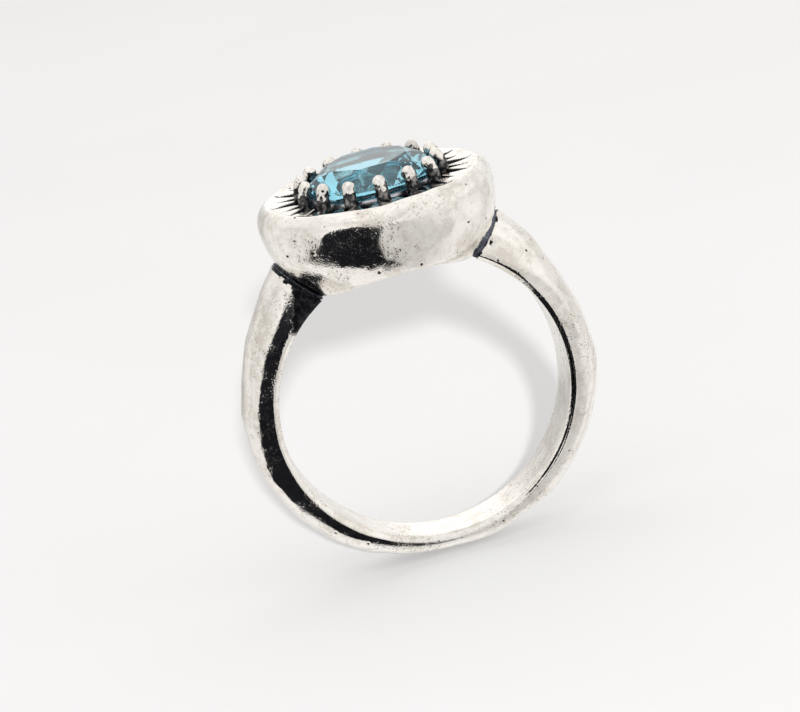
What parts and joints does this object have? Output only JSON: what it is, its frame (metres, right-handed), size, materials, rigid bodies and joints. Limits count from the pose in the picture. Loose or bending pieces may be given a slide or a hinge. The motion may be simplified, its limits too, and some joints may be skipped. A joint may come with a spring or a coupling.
{
  "type": "cocktail ring",
  "caption": "Finger ring with a hammered band, a bowl-shaped head engraved with a sunburst, and a round faceted blue stone held by wire prongs.",
  "frame": {"origin": "centre of the finger bore, in the middle of the band's width", "axes": "+Y along the finger bore, +Z towards the stone, +X across the band; the ring stands upright with its head at the top"},
  "size_m": [0.0212, 0.014, 0.0242],
  "materials": {
    "silver": "bright hammered silver with fine pits",
    "oxidised_silver": "blackened silver",
    "prong_silver": "blackened silver wire with polished tips",
    "blue_topaz": "clear sky-blue faceted stone"
  },
  "bodies": {
    "root": {"shank": "silver", "head_bowl": "silver", "solder_seam_left": "oxidised_silver", "solder_seam_right": "oxidised_silver", "seat_ring": "oxidised_silver", "prong_01": "prong_silver", "prong_02": "prong_silver", "prong_03": "prong_silver", "prong_04": "prong_silver", "prong_05": "prong_silver", "prong_06": "prong_silver", "prong_07": "prong_silver", "prong_08": "prong_silver", "prong_09": "prong_silver", "prong_10": "prong_silver", "prong_11": "prong_silver", "prong_12": "prong_silver", "prong_13": "prong_silver", "prong_14": "prong_silver", "stone": "blue_topaz"}
  },
  "joints": []
}
